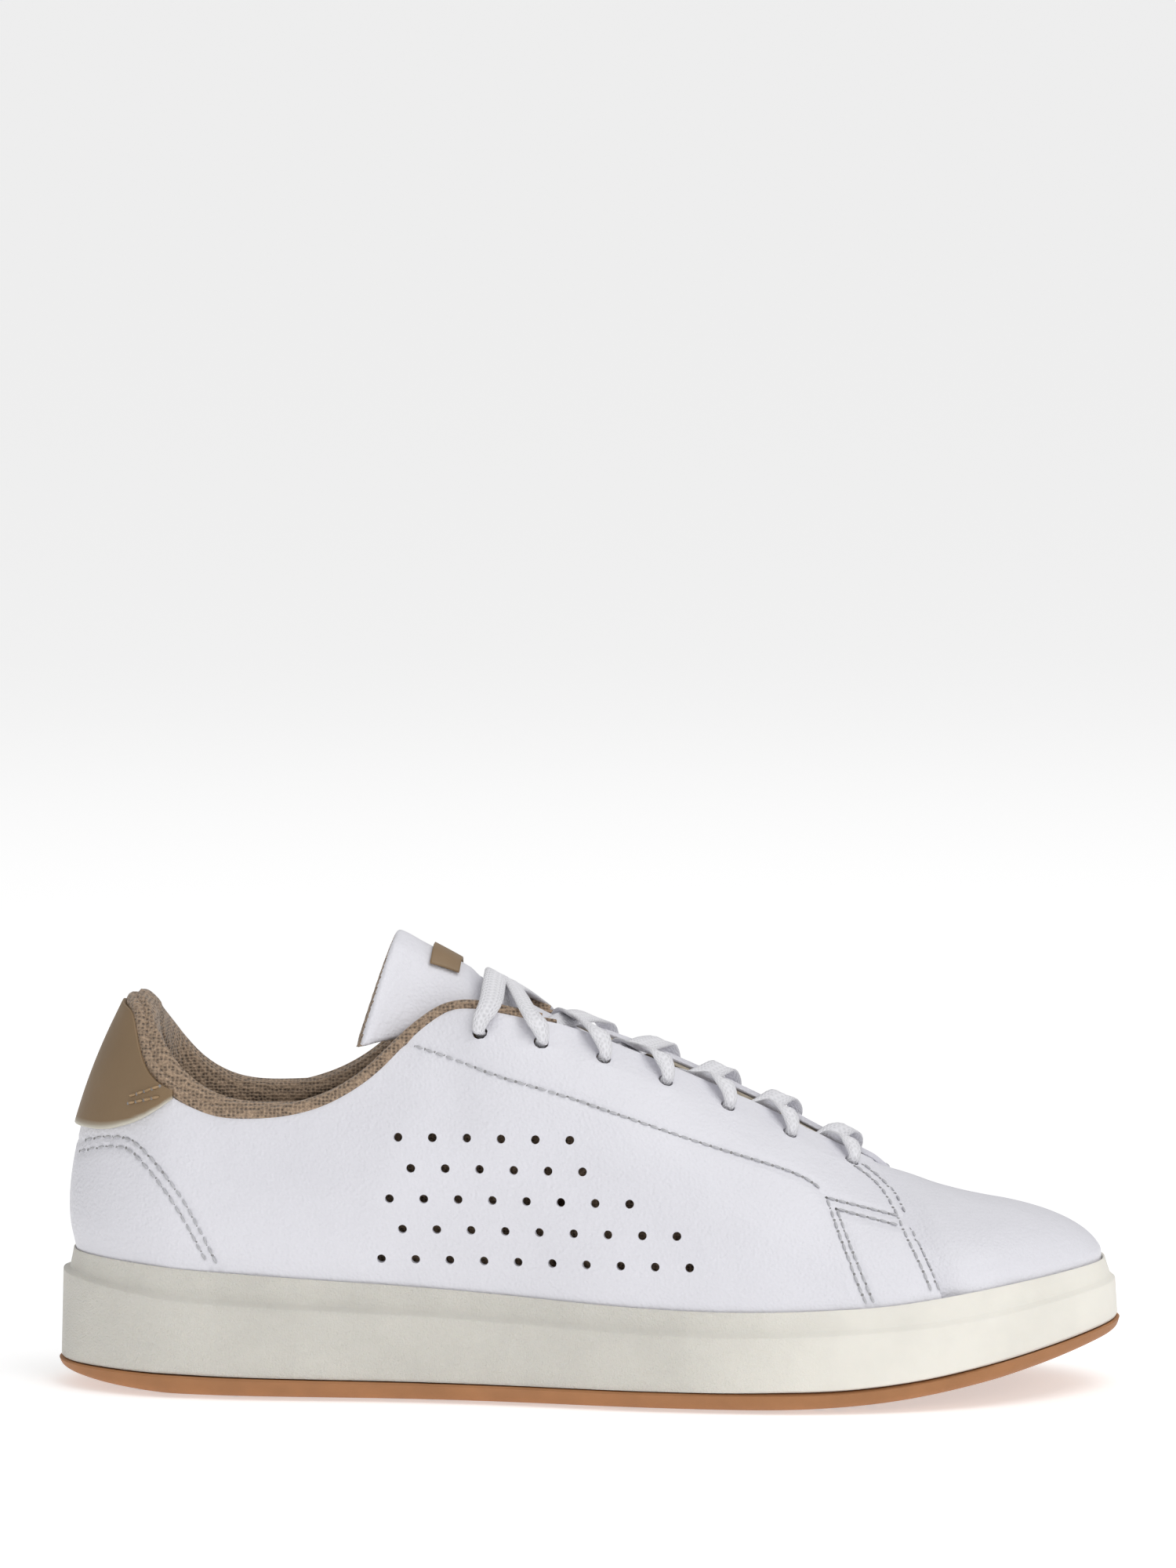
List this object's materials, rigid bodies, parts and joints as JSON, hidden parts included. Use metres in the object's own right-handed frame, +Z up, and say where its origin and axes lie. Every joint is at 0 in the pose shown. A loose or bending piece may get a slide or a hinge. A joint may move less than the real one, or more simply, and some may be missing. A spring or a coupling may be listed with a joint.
{
  "type": "court shoe",
  "caption": "Low lace-up court shoe with a smooth leather upper, padded mesh collar, padded tongue, contrasting heel tab and stitched-on cupsole.",
  "frame": {"origin": "middle of the footprint's bounding box, on the ground", "axes": "+X towards the toe, +Z up, -Y towards the outer (lateral) side of this right shoe"},
  "size_m": [0.2978, 0.1024, 0.1294],
  "materials": {
    "white_leather": "smooth white coated leather, fine grain, satin",
    "cream_rubber": "cream moulded rubber, matt, stippled side wall",
    "gum_rubber": "gum rubber, matt",
    "tan_tab": "smooth tan coated sheet, satin",
    "lining_mesh": "tan spacer mesh",
    "foam": "open-cell foam, matt",
    "board": "fibre board and stiffener sheet, matt",
    "lace_cotton": "flat white woven lace"
  },
  "bodies": {
    "shoe": {"outsole": "gum_rubber", "cupsole": "cream_rubber", "midsole_foam": "foam", "strobel_board": "board", "sockliner": "lining_mesh", "vamp": "white_leather", "toe_puff": "board", "vamp_lining": "lining_mesh", "heel_counter": "board", "quarter_lateral": "white_leather", "quarter_medial": "white_leather", "eyestay_lateral": "board", "eyestay_medial": "board", "forefoot_stay_lateral": "board", "forefoot_stay_medial": "board", "quarter_lining_lateral": "lining_mesh", "quarter_lining_medial": "lining_mesh", "collar_lining": "lining_mesh", "collar_foam": "foam", "heel_tab": "tan_tab", "tongue_cover": "white_leather", "tongue_foam": "foam", "tongue_lining": "lining_mesh", "lace": "lace_cotton"},
    "tongue_flap": {"tongue_flap_cover": "white_leather", "tongue_flap_foam": "foam", "tongue_flap_lining": "lining_mesh", "tongue_label": "tan_tab"}
  },
  "joints": [
    {"name": "tongue_tilt", "type": "hinge", "parent": "shoe", "child": "tongue_flap", "pos_m": [-0.0315, 0, 0.118], "axis": [0, 1, 0], "range_deg": [-4, 30], "stiffness_Nm_per_rad": 0.06}
  ]
}
